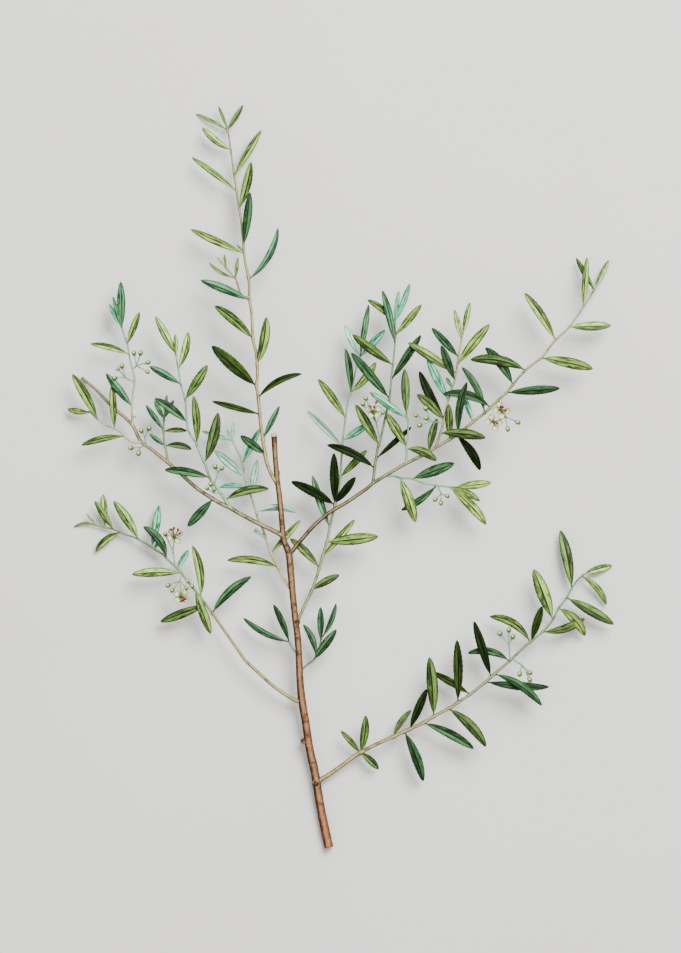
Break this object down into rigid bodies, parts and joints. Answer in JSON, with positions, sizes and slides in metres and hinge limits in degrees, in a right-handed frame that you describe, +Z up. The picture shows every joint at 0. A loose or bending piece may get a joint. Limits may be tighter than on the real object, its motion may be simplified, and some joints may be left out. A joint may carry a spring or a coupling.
{
  "type": "dahoon holly branch",
  "caption": "Cut branch of dahoon holly lying flat: woody stem, side branches and leafy twigs with narrow leaves, clusters of round buds and small four-petalled flowers.",
  "frame": {"origin": "centre of the bounding box, on the plane the branch lies on", "axes": "+Y from the cut base of the stem towards the top of the branch, +X to the right seen from above, +Z up"},
  "size_m": [0.2464, 0.3353, 0.0223],
  "materials": {
    "bark": "rough brown bark",
    "branch": "tan young bark",
    "young_leaf": "yellow-green leaf, satin",
    "green_leaf": "mid-green leaf, satin",
    "dark_leaf": "dark olive leaf, satin",
    "pale_leaf": "pale grey-green leaf underside, matt",
    "bud": "yellow-green bud, smooth",
    "petal": "cream petal, matt"
  },
  "bodies": {
    "root": {"left_branch": "branch", "left_buds_1": "bud", "left_buds_2": "bud", "left_buds_3": "bud", "left_buds_4": "bud", "left_buds_5": "bud", "left_buds_6": "bud", "left_spur": "dark_leaf", "left_twig_1": "young_leaf", "left_twig_2": "green_leaf", "left_twig_3": "green_leaf", "left_twig_4": "young_leaf", "lower_buds_1": "bud", "lower_buds_2": "bud", "lower_buds_3": "bud", "lower_buds_4": "bud", "lower_flower_1": "petal", "lower_flower_2": "petal", "lower_left_branch": "young_leaf", "lower_right_branch": "green_leaf", "main_stem": "bark", "middle_left_shoot": "pale_leaf", "middle_shoot": "pale_leaf", "right_branch": "dark_leaf", "right_buds_1": "bud", "right_buds_2": "bud", "right_buds_3": "bud", "right_buds_4": "bud", "right_flower_1": "petal", "right_flower_2": "petal", "right_flower_3": "petal", "right_spur": "green_leaf", "right_twig_1": "young_leaf", "right_twig_2": "young_leaf", "right_twig_3": "young_leaf", "right_twig_4": "green_leaf", "tall_shoot": "young_leaf"}
  },
  "joints": []
}
